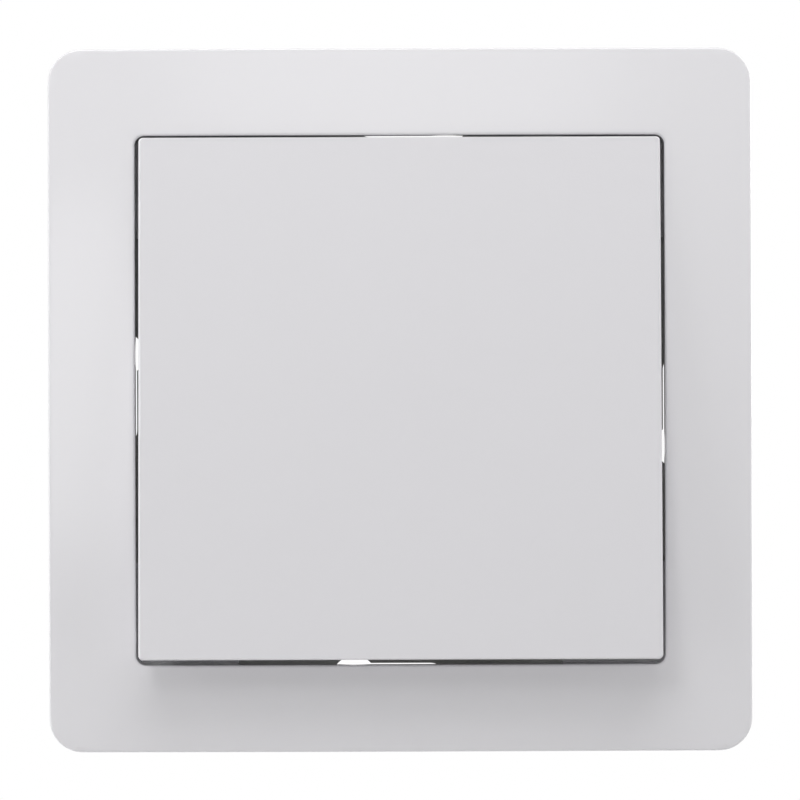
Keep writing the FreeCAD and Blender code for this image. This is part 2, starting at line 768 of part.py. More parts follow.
def make_clamp_spring():
    body = new_body("load_clamp_upper")
    outer = "terminal_out - clamp_gap"
    strip = sketch_on(body, "clamp_profile", "XY_Plane", lift="port_z - clamp_width / 2")
    polygon(strip, [
        (outer, "clamp_back"), (outer, "clamp_top"), ("clamp_bend", "clamp_top"),
        ("clamp_edge", "clamp_edge_depth"), ("clamp_edge + clamp_lean", "clamp_edge_depth"),
        ("clamp_bend + clamp_lean / 2", "clamp_top + clamp_strip"),
        (f"{outer} - clamp_strip", "clamp_top + clamp_strip"), (f"{outer} - clamp_strip", "clamp_back"),
    ])
    pad(body, strip, "clamp_width")
    top = SIZES["clamp_top"]
    dress(body, "Fillet", "clamp_bends", "clamp_radius",
          lambda e: runs_along(e, 2) and abs(mid(e).y - top) < 1e-6)
    return body


# Release lever: slides in the rear wall and lifts both clamp springs of its terminal

def make_release_lever():
    body = new_body("load_release_lever")
    floor = "(base_depth - base_floor)"
    thumb = rectangle(sketch_on(body, "thumb_end", lift="-base_depth - lever_proud"),
                      "lever_x", "0", "lever_thick", "lever_width")
    pad(body, thumb, "base_depth + lever_proud - lever_bar_bottom")
    dress(body, "Fillet", "thumb_round", "thumb_radius",
          lambda e: abs(mid(e).y - SIZES["base_depth"] - SIZES["lever_proud"]) < 1e-6)
    shoulder = rectangle(sketch_on(body, "shoulder", lift=f"-{floor} + seat_gap"),
                         "lever_x", "0", "lever_thick", "lever_shoulder")
    pad(body, shoulder, f"{floor} - seat_gap - lever_bar_bottom")
    bar = rectangle(sketch_on(body, "lift_bar", lift="-lever_bar_bottom"),
                    "lever_x", "0", "lever_bar_thick", "lever_bar")
    pad(body, bar, "lever_bar_bottom - lever_bar_top")
    return body


fixed_face = "bridge_depth + 2 * tip_thick + contact_gap"
load_contact = make_load_contact()
clamp = make_clamp_spring()
lever = make_release_lever()
line_clamp = mirrored_copy(clamp, "line_clamp_upper", (1, 0, 0))
pieces = [
    make_cover_frame(),
    make_rocker_button(),
    make_rocker_carrier(),
    make_support_plate(),
    make_bearing_cover(),
    make_insert_base(),
    make_rivets(),
    make_contact_plunger(),
    make_contact_bridge(),
    make_tips("bridge_contact_tips", "bridge_depth + tip_thick"),
    make_tips("fixed_contact_tips", fixed_face),
    make_contact_spring(),
    make_return_spring(),
    load_contact,
    mirrored_copy(load_contact, "line_contact", (1, 0, 0)),
    clamp,
    mirrored_copy(clamp, "load_clamp_lower", (0, 0, 1)),
    line_clamp,
    mirrored_copy(line_clamp, "line_clamp_lower", (0, 0, 1)),
    lever,
    mirrored_copy(lever, "line_release_lever", (1, 0, 0)),
]
doc.recompute()

for thing in doc.Objects:
    if {"Invalid", "Error"} & set(thing.State):
        raise RuntimeError(f"{thing.Name} did not build: {thing.State}")
for piece in pieces:
    if piece.Shape.isNull() or not piece.Shape.isValid():
        raise RuntimeError(f"{piece.Label} has no valid shape")
    piece.Shape.exportStep(f"parts/{piece.Label}.step")
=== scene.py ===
import math
import bmesh
import bpy
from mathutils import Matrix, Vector


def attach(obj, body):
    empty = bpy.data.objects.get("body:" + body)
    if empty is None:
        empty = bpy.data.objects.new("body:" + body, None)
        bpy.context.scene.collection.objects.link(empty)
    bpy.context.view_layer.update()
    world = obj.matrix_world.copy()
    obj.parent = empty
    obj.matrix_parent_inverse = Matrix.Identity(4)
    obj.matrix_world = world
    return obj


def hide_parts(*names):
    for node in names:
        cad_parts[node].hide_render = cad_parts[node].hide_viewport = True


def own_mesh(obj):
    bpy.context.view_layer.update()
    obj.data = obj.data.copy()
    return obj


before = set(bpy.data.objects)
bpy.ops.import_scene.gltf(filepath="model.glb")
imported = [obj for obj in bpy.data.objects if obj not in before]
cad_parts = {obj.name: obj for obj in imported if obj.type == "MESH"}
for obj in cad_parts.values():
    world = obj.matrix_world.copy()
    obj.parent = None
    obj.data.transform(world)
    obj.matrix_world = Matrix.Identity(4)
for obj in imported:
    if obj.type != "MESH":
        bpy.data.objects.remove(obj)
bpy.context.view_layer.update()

# Support plate
# One stamped sheet of zinc coated steel with a wing on each side. It hangs on screws by its
# four keyholes, and the bent tongues at the wing ends grip the cover frame.
mm = 0.001
near = 0.01
plate_thick = 1.0
core_half = 27.0
wing_half, wing_reach, wing_corner = 19.1, 36.6, 1.2
tongue_half, tongue_height = 5.0, 5.0
bend_radius = 0.9 * plate_thick
sides = [(0, -1), (1, 0), (0, 1), (-1, 0)]


def on_side(side, out, along):
    """The x and z of a point, given how far it lies out from the middle and along that side."""
    return side[0] * out - side[1] * along, side[1] * out + side[0] * along


def blank(name, low, high):
    """A rectangular blank between two corners in millimetres, left as the active piece."""
    bpy.ops.object.select_all(action="DESELECT")
    bpy.ops.mesh.primitive_cube_add(size=1, location=[(a + b) / 2 * mm for a, b in zip(low, high)])
    piece = bpy.context.object
    piece.name = name
    piece.scale = [abs(b - a) * mm for a, b in zip(low, high)]
    bpy.ops.object.transform_apply(location=True, rotation=True, scale=True)
    return piece


def side_blank(name, side, out, along, depth):
    """A blank that is square to one side of the switch; out, along and depth are spans."""
    (x0, z0), (x1, z1) = on_side(side, out[0], along[0]), on_side(side, out[1], along[1])
    return blank(name, (min(x0, x1), depth[0], min(z0, z1)), (max(x0, x1), depth[1], max(z0, z1)))


def round_pin(name, x, z, radius, depth, end_radius=None):
    """A round bar along the depth of the switch, or a cone if its far end has another radius."""
    bpy.ops.object.select_all(action="DESELECT")
    far = radius if end_radius is None else end_radius
    bpy.ops.mesh.primitive_cone_add(
        vertices=48, radius1=far * mm, radius2=radius * mm, depth=(depth[1] - depth[0]) * mm,
        location=(x * mm, (depth[0] + depth[1]) / 2 * mm, z * mm), rotation=(math.pi / 2, 0, 0))
    bpy.ops.object.transform_apply(location=True, rotation=True, scale=True)
    bpy.context.object.name = name
    return bpy.context.object


def pick(kind, wanted):
    """In edit mode, select just the edges or faces that pass a test on them and their middle in mm."""
    bpy.ops.mesh.select_mode(type=kind)
    bpy.ops.mesh.select_all(action="DESELECT")
    form = bmesh.from_edit_mesh(bpy.context.edit_object.data)
    for item in form.edges if kind == "EDGE" else form.faces:
        middle = sum((v.co for v in item.verts), Vector()) / len(item.verts) / mm
        if wanted(item, middle):
            item.select_set(True)
    bmesh.update_edit_mesh(bpy.context.edit_object.data)


def along_depth(edge):
    """Whether an edge is square to the wall."""
    a, b = (v.co for v in edge.verts)
    return abs((b - a).normalized().y) > 0.999


def carve(piece, cutters, kind="DIFFERENCE"):
    """Cut helper solids out of a piece, or join them to it, and remove them."""
    bpy.ops.object.select_all(action="DESELECT")
    bpy.context.view_layer.objects.active = piece
    for cutter in cutters:
        cut = piece.modifiers.new("carve", "BOOLEAN")
        cut.operation = kind
        cut.solver = "EXACT"
        cut.object = cutter
        bpy.ops.object.modifier_apply(modifier=cut.name)
        bpy.data.objects.remove(cutter, do_unlink=True)


def break_edges(piece, width, steps=2, angle=35):
    """Round the sharp edges a little, as stamping or moulding leaves them, and shade the piece."""
    bpy.ops.object.select_all(action="DESELECT")
    piece.select_set(True)
    bpy.context.view_layer.objects.active = piece
    if width:
        edge = piece.modifiers.new("edges", "BEVEL")
        edge.width = width * mm
        edge.segments = steps
        edge.limit_method = "ANGLE"
        edge.angle_limit = math.radians(angle)
        bpy.ops.object.modifier_apply(modifier=edge.name)
    bpy.ops.object.shade_smooth_by_angle(angle=math.radians(angle))
    even = piece.modifiers.new("shading", "WEIGHTED_NORMAL")
    even.keep_sharp = True
    even.weight = 90
    bpy.ops.object.modifier_apply(modifier=even.name)


plate = blank("steel_plate", (-core_half, -plate_thick, -core_half), (core_half, 0, core_half))
bpy.ops.object.mode_set(mode="EDIT")
for half in (wing_half, tongue_half):
    for across in ((1, 0, 0), (0, 0, 1)):
        for way in (-1, 1):
            bpy.ops.mesh.select_all(action="SELECT")
            bpy.ops.mesh.bisect(plane_co=[way * half * mm * a for a in across], plane_no=across)
for side in sides:
    out = Vector((side[0], 0, side[1]))
    for half, reach in ((wing_half, wing_reach - core_half), (tongue_half, plate_thick)):
        pick("FACE", lambda f, m: f.normal.dot(out) > 0.9 and m.dot(out) > 0 and abs(m.cross(out).y) < half)
        bpy.ops.mesh.extrude_region_move(TRANSFORM_OT_translate={"value": out * reach * mm})
    pick("FACE", lambda f, m: f.normal.y < -0.9 and m.dot(out) > wing_reach)
    bpy.ops.mesh.extrude_region_move(
        TRANSFORM_OT_translate={"value": (0, -(tongue_height - plate_thick) * mm, 0)})
pick("EDGE", lambda e, m: abs(m.y) < near and max(abs(m.x), abs(m.z)) > wing_reach + plate_thick - near)
bpy.ops.mesh.bevel(offset=bend_radius * mm, segments=5, affect="EDGES")
pick("EDGE", lambda e, m: along_depth(e) and abs(m.y + plate_thick / 2) < 0.3
     and min(abs(m.x), abs(m.z)) > wing_half - 0.1)
bpy.ops.mesh.bevel(offset=wing_corner * mm, segments=6, affect="EDGES")
bpy.ops.object.mode_set(mode="OBJECT")

window_x, window_z = 20.5, 18.5
slot_out, seat_along, seat_radius = 32.5, 3.4, 1.9
head_out, head_along, head_radius = 32.35, -5.4, 2.6
through = (-3, 3)
cutters = [blank("window", (-window_x, through[0], -window_z), (window_x, through[1], window_z))]
for side in sides:
    cutters += [
        round_pin("head", *on_side(side, head_out, head_along), head_radius, through),
        side_blank("slot", side, (slot_out - seat_radius, slot_out + seat_radius),
                   (head_along, seat_along), through),
        round_pin("seat", *on_side(side, slot_out, seat_along), seat_radius, through),
    ]
carve(plate, cutters)
break_edges(plate, 0.1)


def surface_group(name, sockets):
    """An empty surface group with a colour, roughness and height output and the inputs named."""
    group = bpy.data.node_groups.new(name, "ShaderNodeTree")
    for label, kind in (("Colour", "NodeSocketColor"), ("Roughness", "NodeSocketFloat"),
                        ("Height", "NodeSocketFloat")):
        group.interface.new_socket(label, in_out="OUTPUT", socket_type=kind)
    for label, kind in sockets:
        group.interface.new_socket(label, in_out="INPUT", socket_type=kind)
    return group, group.nodes.new("NodeGroupInput").outputs, group.nodes.new("NodeGroupOutput").inputs


def noise(group, vector, scale, detail):
    """A noise texture in a group, driven by a vector and a scale socket."""
    texture = group.nodes.new("ShaderNodeTexNoise")
    texture.inputs["Detail"].default_value = detail
    group.links.new(vector, texture.inputs["Vector"])
    group.links.new(scale, texture.inputs["Scale"])
    return texture.outputs["Fac"]


def between(group, factor, low, high, kind="FLOAT"):
    """A mix of two sockets in a group by a factor."""
    mix = group.nodes.new("ShaderNodeMix")
    mix.data_type = kind
    inputs = [socket for socket in mix.inputs if socket.enabled]
    for source, target in zip((factor, low, high), inputs):
        group.links.new(source, target)
    return next(socket for socket in mix.outputs if socket.enabled)


rolled, given, put = surface_group("rolled_metal", [
    ("Colour", "NodeSocketColor"), ("Worn colour", "NodeSocketColor"), ("Grain", "NodeSocketFloat"),
    ("Smooth", "NodeSocketFloat"), ("Dull", "NodeSocketFloat")])
place = rolled.nodes.new("ShaderNodeTexCoord").outputs["Object"]
stretch = rolled.nodes.new("ShaderNodeMapping")
stretch.inputs["Scale"].default_value = (1, 1, 14)
rolled.links.new(place, stretch.inputs["Vector"])
lines = noise(rolled, stretch.outputs["Vector"], given["Grain"], 6)
clouds = noise(rolled, place, given["Grain"], 3)
rolled.links.new(between(rolled, clouds, given["Colour"], given["Worn colour"], "RGBA"), put["Colour"])
rolled.links.new(between(rolled, lines, given["Smooth"], given["Dull"]), put["Roughness"])
rolled.links.new(lines, put["Height"])


def finish(name, group, values, relief, **shader):
    """A material whose colour, roughness and fine relief come from a surface group."""
    look = bpy.data.materials.new(name)
    look.use_nodes = True
    tree = look.node_tree
    principled = tree.nodes["Principled BSDF"]
    for socket, value in shader.items():
        principled.inputs[socket.replace("_", " ").title()].default_value = value
    skin = tree.nodes.new("ShaderNodeGroup")
    skin.node_tree = group
    for socket, value in values.items():
        skin.inputs[socket].default_value = value
    bump = tree.nodes.new("ShaderNodeBump")
    bump.inputs["Strength"].default_value = relief
    bump.inputs["Distance"].default_value = 0.02 * mm
    tree.links.new(skin.outputs["Colour"], principled.inputs["Base Color"])
    tree.links.new(skin.outputs["Roughness"], principled.inputs["Roughness"])
    tree.links.new(skin.outputs["Height"], bump.inputs["Height"])
    tree.links.new(bump.outputs["Normal"], principled.inputs["Normal"])
    return look


zinc_plate = finish("zinc_plate", rolled, {
    "Colour": (0.42, 0.42, 0.41, 1), "Worn colour": (0.34, 0.34, 0.33, 1), "Grain": 260.0,
    "Smooth": 0.50, "Dull": 0.66}, 0.25, metallic=1.0)


def fit(piece, look, body, node):
    """Give a finished piece its material and its place on a body, in place of the CAD node."""
    piece.data.materials.clear()
    piece.data.materials.append(look)
    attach(piece, body)
    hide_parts(node)


fit(plate, zinc_plate, "insert", "support_plate")

# Insert base
# The moulded thermoset housing behind the plate, an octagonal tub that is open to the front.
# It has rooms for the contacts and terminals, four wire ports, and slots for the levers.
base_x, base_z, base_depth, base_floor = 22.0, 20.0, 20.0, 3.0
base_corner, rear_round = 6.0, 0.8
room_x, contact_room_z, spare_room_z = 10.6, (-17, -4), (-2.4, 17)
terminal_x, terminal_z = (11.8, 20.4), 14
gate_x, gate_z, gate_end = (10.1, 12.3), (-13.8, -8.2), 13.6
panel_x, panel_z, panel_sunk = 10.5, 15, 0.4
groove_half, groove_sunk = 4, 0.7
port_x, port_z, port_radius = 14.5, 7.0, 1.5
funnel_sunk, funnel_cone = 0.7, 1.0
lever_x, lever_half_x, lever_half_z, slide_gap = 16.9, 1.8, 2.5, 0.1
rivet_x, rivet_z, rivet_hole, rivet_recess, rivet_sunk = 14.5, 16.4, 1.25, 2.15, 0.5
mark_x, mark_z, mark_radius, mark_sunk = 7, 11, 1.3, 0.12
room_end = base_depth - base_floor
front_past, inside, rear_past = -1, 10, 25


def mirrored(way, span):
    """A span as it is, or its mirror image where way is -1, from its low to its high end."""
    return sorted(way * end for end in span)


base = blank("base_moulding", (-base_x, 0, -base_z), (base_x, base_depth, base_z))
bpy.ops.object.mode_set(mode="EDIT")
pick("EDGE", lambda e, m: along_depth(e))
bpy.ops.mesh.bevel(offset=base_corner * mm, segments=1, affect="EDGES")
pick("EDGE", lambda e, m: abs(m.y - base_depth) < near)
bpy.ops.mesh.bevel(offset=rear_round * mm, segments=4, affect="EDGES")
bpy.ops.object.mode_set(mode="OBJECT")
cutters = [
    blank("contact_room", (-room_x, front_past, contact_room_z[0]), (room_x, room_end, contact_room_z[1])),
    blank("spare_room", (-room_x, front_past, spare_room_z[0]), (room_x, room_end, spare_room_z[1])),
    blank("bare_panel", (-panel_x, base_depth - panel_sunk, -panel_z), (panel_x, rear_past, panel_z)),
]
for way in (-1, 1):
    room_low, room_high = mirrored(way, terminal_x)
    gate_low, gate_high = mirrored(way, gate_x)
    slot_low, slot_high = (way * lever_x + end * (lever_half_x + slide_gap) for end in (-1, 1))
    slot_z = lever_half_z + slide_gap
    rivet_place = way * rivet_x, way * rivet_z
    cutters += [
        blank("terminal_room", (room_low, front_past, -terminal_z), (room_high, room_end, terminal_z)),
        blank("arm_gate", (gate_low, front_past, gate_z[0]), (gate_high, gate_end, gate_z[1])),
        blank("lever_slot", (slot_low, inside, -slot_z), (slot_high, rear_past, slot_z)),
        blank("side_groove", (way * base_x - groove_sunk, front_past, -groove_half),
              (way * base_x + groove_sunk, rear_past, groove_half)),
        round_pin("rivet_hole", *rivet_place, rivet_hole, (front_past, rear_past)),
        round_pin("rivet_recess", *rivet_place, rivet_recess, (base_depth - rivet_sunk, rear_past)),
    ]
    for row in (-1, 1):
        funnel_start = base_depth - funnel_sunk
        mark_floor = base_depth - panel_sunk - mark_sunk
        cutters += [
            round_pin("port", way * port_x, row * port_z, port_radius, (inside, rear_past)),
            round_pin("funnel", way * port_x, row * port_z, port_radius,
                      (funnel_start, funnel_start + funnel_cone), port_radius + funnel_cone),
            round_pin("ejector_mark", way * mark_x, row * mark_z, mark_radius, (mark_floor, rear_past)),
        ]
carve(base, cutters)
break_edges(base, 0.12)

moulded, given, put = surface_group("moulded_skin", [
    ("Colour", "NodeSocketColor"), ("Flow colour", "NodeSocketColor"), ("Flow", "NodeSocketFloat"),
    ("Grain", "NodeSocketFloat"), ("Smooth", "NodeSocketFloat"), ("Dull", "NodeSocketFloat")])
place = moulded.nodes.new("ShaderNodeTexCoord").outputs["Object"]
flow = noise(moulded, place, given["Flow"], 2)
grain = noise(moulded, place, given["Grain"], 3)
moulded.links.new(between(moulded, flow, given["Colour"], given["Flow colour"], "RGBA"), put["Colour"])
moulded.links.new(between(moulded, grain, given["Smooth"], given["Dull"]), put["Roughness"])
moulded.links.new(grain, put["Height"])
base_grey = finish("base_grey", moulded, {
    "Colour": (0.050, 0.051, 0.055, 1), "Flow colour": (0.075, 0.076, 0.080, 1), "Flow": 90.0,
    "Grain": 1800.0, "Smooth": 0.42, "Dull": 0.62}, 0.5)
fit(base, base_grey, "insert", "insert_base")

# Rivets
# Two tubular rivets of soft metal clamp the bearing cover, the plate and the base together.
# Each is a thin tube whose ends are rolled out over the mouldings.
tube_front, tube_back, tube_radius, tube_wall = -2.55, 19.45, 1.0, 0.22
roll_step = 0.22
roll_turns = [(1.0, 1.32), (0.3, 1.28), (-0.5, 1.08)]
rivet_metal = finish("rivet_metal", rolled, {
    "Colour": (0.755, 0.755, 0.763, 1), "Worn colour": (0.727, 0.727, 0.735, 1), "Grain": 700.0,
    "Smooth": 0.32, "Dull": 0.38}, 0.05, metallic=0.9)
for way, name in ((-1, "rivet_lower"), (1, "rivet_upper")):
    x, z = way * rivet_x * mm, way * rivet_z * mm
    bpy.ops.object.select_all(action="DESELECT")
    bpy.ops.mesh.primitive_cylinder_add(
        vertices=48, radius=tube_radius * mm, depth=(tube_back - tube_front) * mm, end_fill_type="NOTHING",
        location=(x, (tube_front + tube_back) / 2 * mm, z), rotation=(math.pi / 2, 0, 0))
    bpy.ops.object.transform_apply(location=True, rotation=True, scale=True)
    tube = bpy.context.object
    tube.name = name
    bpy.ops.object.mode_set(mode="EDIT")
    for end, outward in ((tube_front, -1), (tube_back, 1)):
        pick("EDGE", lambda e, m: abs(m.y - end) < 0.05 and not along_depth(e))
        for steps, grow in roll_turns:
            bpy.ops.mesh.extrude_edges_move(
                TRANSFORM_OT_translate={"value": (0, outward * steps * roll_step * mm, 0)})
            bpy.ops.transform.resize(value=(grow, 1, grow), center_override=(x, 0, z))
    bpy.ops.object.mode_set(mode="OBJECT")
    wall = tube.modifiers.new("wall", "SOLIDIFY")
    wall.thickness = tube_wall * mm
    wall.offset = 0
    bpy.ops.object.modifier_apply(modifier=wall.name)
    break_edges(tube, 0.06, angle=40)
    fit(tube, rivet_metal, "insert", "tubular_rivets")

# Release levers
# Two coloured sliders in the rear wall. Their bars lift the clamp springs off the wires, and
# the ends that stand out of the wall have ridges for a fingertip or a screwdriver.
lever_front, lever_back = 8.6, 20.9
shoulder_z, shoulder_front, shoulder_back = 3.5, 8.7, 16.95
bar_x, bar_z, bar_front, bar_back = 1.0, 8, 6.3, 8.75
ridge_gaps, ridge_gap_half, ridge_gap_floor, ridge_gap_past = (-1.5, 0, 1.5), 0.3, 20.55, 1.2
lever_orange = finish("lever_orange", moulded, {
    "Colour": (0.74, 0.24, 0.04, 1), "Flow colour": (0.66, 0.20, 0.035, 1), "Flow": 160.0,
    "Grain": 2200.0, "Smooth": 0.34, "Dull": 0.50}, 0.4)
for way, name in ((1, "load"), (-1, "line")):
    x = way * lever_x
    x_low, x_high = x - lever_half_x, x + lever_half_x
    lever = blank(f"{name}_slider", (x_low, lever_front, -lever_half_z), (x_high, lever_back, lever_half_z))
    carve(lever, [
        blank("shoulder", (x_low, shoulder_front, -shoulder_z), (x_high, shoulder_back, shoulder_z)),
        blank("bar", (x - bar_x, bar_front, -bar_z), (x + bar_x, bar_back, bar_z)),
    ], "UNION")
    carve(lever, [
        blank("ridge_gap", (x_low - ridge_gap_past, ridge_gap_floor, z - ridge_gap_half),
              (x_high + ridge_gap_past, rear_past, z + ridge_gap_half))
        for z in ridge_gaps
    ])
    break_edges(lever, 0.16)
    fit(lever, lever_orange, f"{name}_lever", f"{name}_release_lever")

# Contacts, clamps and springs
# Bent brass strips with silver tips, stainless wire clamps and springs, shaped as the CAD has
# them. They sit in the base. The plunger squeezes the coil, and the levers push the clamps.
contact_brass = finish("contact_brass", rolled, {
    "Colour": (0.78, 0.57, 0.24, 1), "Worn colour": (0.66, 0.46, 0.18, 1), "Grain": 420.0,
    "Smooth": 0.24, "Dull": 0.42}, 0.2, metallic=1.0)
contact_silver = finish("contact_silver", rolled, {
    "Colour": (0.84, 0.83, 0.80, 1), "Worn colour": (0.72, 0.71, 0.68, 1), "Grain": 900.0,
    "Smooth": 0.18, "Dull": 0.34}, 0.15, metallic=1.0)
spring_steel = finish("spring_steel", rolled, {
    "Colour": (0.62, 0.63, 0.65, 1), "Worn colour": (0.52, 0.53, 0.55, 1), "Grain": 600.0,
    "Smooth": 0.20, "Dull": 0.36}, 0.15, metallic=1.0)


def dress(look, names):
    """Give CAD nodes that stay as they are a material."""
    for name in names:
        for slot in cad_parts[name].material_slots:
            slot.material = look


dress(contact_brass, ["line_contact", "load_contact", "contact_bridge"])
dress(contact_silver, ["fixed_contact_tips", "bridge_contact_tips"])
dress(spring_steel, ["contact_spring"])


def springy(name, node):
    """A merged, smooth shaded copy of a spring with the CAD's shape, set on the insert in place of the CAD
    node.
    """
    spring = bpy.data.objects.new(name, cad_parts[node].data.copy())
    bpy.context.scene.collection.objects.link(spring)
    bpy.ops.object.select_all(action="DESELECT")
    spring.select_set(True)
    bpy.context.view_layer.objects.active = spring
    bpy.ops.object.mode_set(mode="EDIT")
    bpy.ops.mesh.select_all(action="SELECT")
    bpy.ops.mesh.remove_doubles(threshold=0.001 * mm)
    bpy.ops.object.mode_set(mode="OBJECT")
    break_edges(spring, 0, angle=40)
    fit(spring, spring_steel, "insert", node)
    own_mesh(spring)


springy("coil_spring", "return_spring")
for circuit in ("load", "line"):
    for row in ("upper", "lower"):
        springy(f"{circuit}_leaf_{row}", f"{circuit}_clamp_{row}")

# Plunger, carrier and bearing cover
# Mouldings behind the key: the grey cover with its two bearings, the yoke that the key clips
# on, and the slider that works the contacts. The yoke and slider are uncoloured acetal.
cover_grey = finish("cover_grey", moulded, {
    "Colour": (0.24, 0.245, 0.26, 1), "Flow colour": (0.20, 0.205, 0.22, 1), "Flow": 80.0,
    "Grain": 1500.0, "Smooth": 0.40, "Dull": 0.58}, 0.4)
natural_white = finish("natural_white", moulded, {
    "Colour": (0.70, 0.69, 0.64, 1), "Flow colour": (0.64, 0.63, 0.58, 1), "Flow": 110.0,
    "Grain": 1600.0, "Smooth": 0.34, "Dull": 0.48}, 0.3, subsurface_weight=0.05)
dress(cover_grey, ["bearing_cover"])
dress(natural_white, ["rocker_carrier", "contact_plunger"])

# Rocker button
# The satin key, a shallow moulded tray whose face overhangs its sides a little. It clips on
# the yoke with four arms, and it rests tilted, with its lower edge standing out.
pivot_depth, rest_tilt = -6.0, -4.0
face_size, face_front, key_corner = 60.05, -4.7, 0.5
side_roll, end_roll, roll_depth = 0.32, 0.06, 0.3
skirt = [(60.1, -3.1), (59.4, -3.1), (59.1, 0.3), (57.0, 0.3), (57.0, -2.9)]
rib_x, rib_half, rib_z, rib_end = 13.4, 0.6, 11, -1.55
arm_x, arm_half, arm_z, arm_end = 9, 2.8, (7.2, 8.6), 2.2
hook_z, hook_start, hook_slant = (8.5, 10.1), 1.0, 1.5
inner_foot = -2.95


def rounded_loop(size, corner, depth, corner_steps=8, side_steps=20):
    """A square wire with rounded corners, parallel to the wall."""
    bpy.ops.object.select_all(action="DESELECT")
    bpy.ops.mesh.primitive_plane_add(
        size=size * mm, location=(0, depth * mm, 0), rotation=(math.pi / 2, 0, 0))
    bpy.ops.object.transform_apply(location=True, rotation=True, scale=True)
    bpy.ops.object.mode_set(mode="EDIT")
    bpy.ops.mesh.select_all(action="SELECT")
    bpy.ops.mesh.bevel(offset=corner * mm, segments=corner_steps, affect="VERTICES")
    pick("EDGE", lambda e, m: e.calc_length() > size / 2 * mm)
    bpy.ops.mesh.subdivide(number_cuts=side_steps)
    bpy.ops.mesh.select_all(action="SELECT")
    bpy.ops.mesh.delete(type="ONLY_FACE")
    bpy.ops.object.mode_set(mode="OBJECT")
    return bpy.context.object


def join_to(piece, others):
    """Make other solids part of a piece's mesh."""
    bpy.ops.object.select_all(action="DESELECT")
    for other in [piece, *others]:
        other.select_set(True)
    bpy.context.view_layer.objects.active = piece
    bpy.ops.object.join()


rings = []
for turn in (0, 22.5, 45, 67.5, 90):
    short, back = 1 - math.sin(math.radians(turn)), 1 - math.cos(math.radians(turn))
    rings.append((face_size - 2 * side_roll * short, face_size - 2 * end_roll * short,
                  face_front + roll_depth * back))
rings += [(size, size, depth) for size, depth in skirt]
key = rounded_loop(face_size, key_corner, face_front)
key.name = "rocker_key"
bpy.ops.object.mode_set(mode="EDIT")
bpy.ops.mesh.select_all(action="SELECT")
bpy.ops.transform.resize(
    value=(rings[0][0] / face_size, 1, rings[0][1] / face_size), center_override=(0, 0, 0))
bpy.ops.mesh.edge_face_add()
pick("EDGE", lambda e, m: True)
for (width, height, depth), (next_width, next_height, next_depth) in zip(rings, rings[1:]):
    bpy.ops.mesh.extrude_edges_move(TRANSFORM_OT_translate={"value": (0, (next_depth - depth) * mm, 0)})
    bpy.ops.transform.resize(
        value=(next_width / width, 1, next_height / height), center_override=(0, 0, 0))
bpy.ops.mesh.edge_face_add()
bpy.ops.mesh.select_all(action="SELECT")
bpy.ops.mesh.normals_make_consistent(inside=False)
bpy.ops.object.mode_set(mode="OBJECT")
inner_parts = []
for way in (-1, 1):
    inner_parts.append(blank("rest_rib", (way * rib_x - rib_half, inner_foot, -rib_z),
                             (way * rib_x + rib_half, rib_end, rib_z)))
    x_low, x_high = way * arm_x - arm_half, way * arm_x + arm_half
    for row in (-1, 1):
        arm_low, arm_high = mirrored(row, arm_z)
        hook_low, hook_high = mirrored(row, hook_z)
        inner_parts.append(blank("clip_arm", (x_low, inner_foot, arm_low), (x_high, arm_end, arm_high)))
        inner_parts.append(blank("clip_hook", (x_low, hook_start, hook_low), (x_high, arm_end, hook_high)))
        bpy.ops.object.mode_set(mode="EDIT")
        pick("EDGE", lambda e, m: m.y > arm_end - 0.1 and abs(m.z) > hook_z[1] - 0.2)
        bpy.ops.transform.translate(value=(0, 0, -row * hook_slant * mm))
        bpy.ops.object.mode_set(mode="OBJECT")
join_to(key, inner_parts)
break_edges(key, 0, angle=30)
key.rotation_euler = (math.radians(rest_tilt), 0, 0)
key.location = (0, pivot_depth * mm, 0)
bpy.ops.object.transform_apply(location=True, rotation=True, scale=True)
button_white = finish("button_white", moulded, {
    "Colour": (0.718, 0.710, 0.733, 1), "Flow colour": (0.708, 0.700, 0.723, 1), "Flow": 30.0,
    "Grain": 5200.0, "Smooth": 0.36, "Dull": 0.46}, 0.35)
fit(key, button_white, "rocker", "rocker_button")

# Cover frame
# A glossy moulding with a slight dome and rounded corners, hollow behind. Walls and ledges
# at the corners of its opening guide the key, and ribs behind it snap over the plate's tongues.
frame_size, frame_corner, frame_round = 81.0, 3.8, 0.2
opening_size, opening_corner, opening_round = 61.0, 1.1, 0.3
hollow_size, hollow_corner = 77.4, 2.0
front_depth, front_zone, roof_depth, wall_depth = -8.6, -7.0, -6.2, 0.0
crown, dome = 9.1, 1000.0
lip_out, ledge_along = 31.7, 18.8
ledge_out, ledge_depth = (28.6, 30.9), (-2.6, -1.4)
rib_out, rib_along, rib_depth = (37.7, 38.9), (-7, 7), (-6.3, -1.2)


def on_loop(edge, size, corner, depth):
    """Whether an edge belongs to the rounded square of that size and depth."""
    for v in edge.verts:
        reach = max(abs(v.co.x), abs(v.co.z)) / mm
        if abs(v.co.y / mm - depth) > near or not size / 2 - 0.3 * corner - near < reach < size / 2 + near:
            return False
    return True


def on_front(edge, size, corner):
    """Whether an edge runs round the domed front at the rounded square of that size."""
    for v in edge.verts:
        reach = max(abs(v.co.x), abs(v.co.z)) / mm
        if v.co.y / mm > front_zone or not size / 2 - 0.3 * corner - near < reach < size / 2 + near:
            return False
    return True


